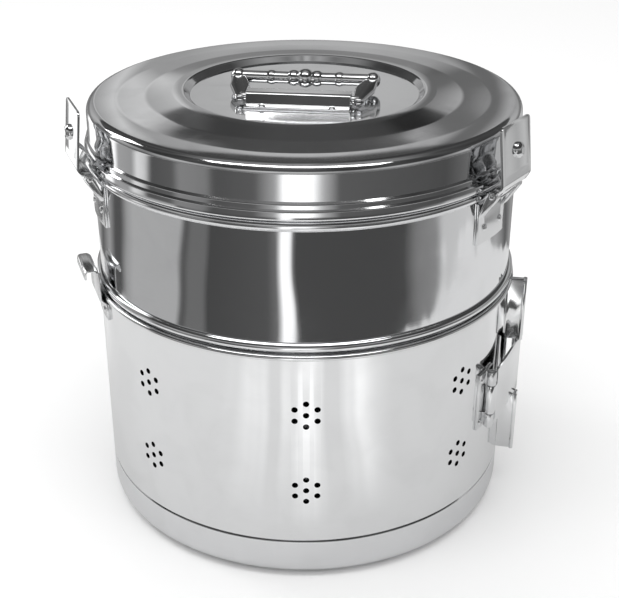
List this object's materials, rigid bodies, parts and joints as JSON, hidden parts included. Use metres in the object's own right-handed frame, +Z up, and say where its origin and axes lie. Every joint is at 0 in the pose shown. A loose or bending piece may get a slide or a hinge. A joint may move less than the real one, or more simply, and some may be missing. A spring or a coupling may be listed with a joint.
{
  "type": "sterilization drum",
  "caption": "Round stainless steel sterilization drum with a hinged lid, folding handle, side clips and a perforated turning belt that opens and closes its steam holes.",
  "frame": {"origin": "middle of the base, on the plane the drum stands on", "axes": "+Z up along the drum's axis, +X along the lid handle, -Y towards the front, opposite the lid hinge"},
  "size_m": [0.2439, 0.2436, 0.2432],
  "materials": {
    "body": "polished",
    "lid": "polished",
    "belt": "polished",
    "handle": "polished",
    "clip": "polished",
    "fitting": "satin",
    "spring": "satin",
    "pin": "polished",
    "rivet": "polished"
  },
  "bodies": {
    "drum": {"drum_shell": "body", "hinge_body_leaf": "fitting", "hinge_pin": "pin", "hinge_body_rivet_1": "rivet", "hinge_body_rivet_2": "rivet", "clip_left_base": "fitting", "clip_left_pin": "pin", "clip_left_rivet_1": "rivet", "clip_left_rivet_2": "rivet", "clip_right_base": "fitting", "clip_right_pin": "pin", "clip_right_rivet_1": "rivet", "clip_right_rivet_2": "rivet"},
    "lid": {"lid_shell": "lid", "hinge_lid_leaf": "fitting", "hinge_lid_rivet_1": "rivet", "hinge_lid_rivet_2": "rivet", "handle_strap": "handle", "handle_rivet_1": "rivet", "handle_rivet_2": "rivet", "handle_rivet_3": "rivet", "handle_rivet_4": "rivet"},
    "bail": {"handle_bail": "handle"},
    "left_clip": {"clip_left_plate": "clip", "clip_left_spring": "spring", "clip_left_boss": "clip"},
    "right_clip": {"clip_right_plate": "clip", "clip_right_spring": "spring", "clip_right_boss": "clip"},
    "belt": {"belt_band": "belt", "belt_lug": "fitting", "lug_rivet_1": "rivet", "lug_rivet_2": "rivet", "latch_bracket": "fitting", "latch_pin": "pin", "latch_keeper": "pin", "latch_rivet_1": "rivet", "latch_rivet_2": "rivet"},
    "hasp": {"latch_hasp": "clip"}
  },
  "joints": [
    {"name": "lid_hinge", "type": "hinge", "parent": "drum", "child": "lid", "pos_m": [0, 0.123, 0.207], "axis": [-1, 0, 0], "range_deg": [0, 105]},
    {"name": "bail_pivot", "type": "hinge", "parent": "lid", "child": "bail", "pos_m": [0, -0.0222, 0.2351], "axis": [1, 0, 0], "range_deg": [0, 165]},
    {"name": "left_clip_hinge", "type": "hinge", "parent": "drum", "child": "left_clip", "pos_m": [-0.10648, -0.05662, 0.203], "axis": [0.4695, -0.8829, 0], "range_deg": [0, 110]},
    {"name": "right_clip_hinge", "type": "hinge", "parent": "drum", "child": "right_clip", "pos_m": [0.10648, -0.05662, 0.203], "axis": [0.4695, 0.8829, 0], "range_deg": [0, 110]},
    {"name": "belt_turn", "type": "hinge", "parent": "drum", "child": "belt", "pos_m": [0, 0, 0.08], "axis": [0, 0, 1], "continuous": true},
    {"name": "hasp_hinge", "type": "hinge", "parent": "belt", "child": "hasp", "pos_m": [0.10759, -0.05132, 0.08], "axis": [0, 0, -1], "range_deg": [0, 130]}
  ]
}
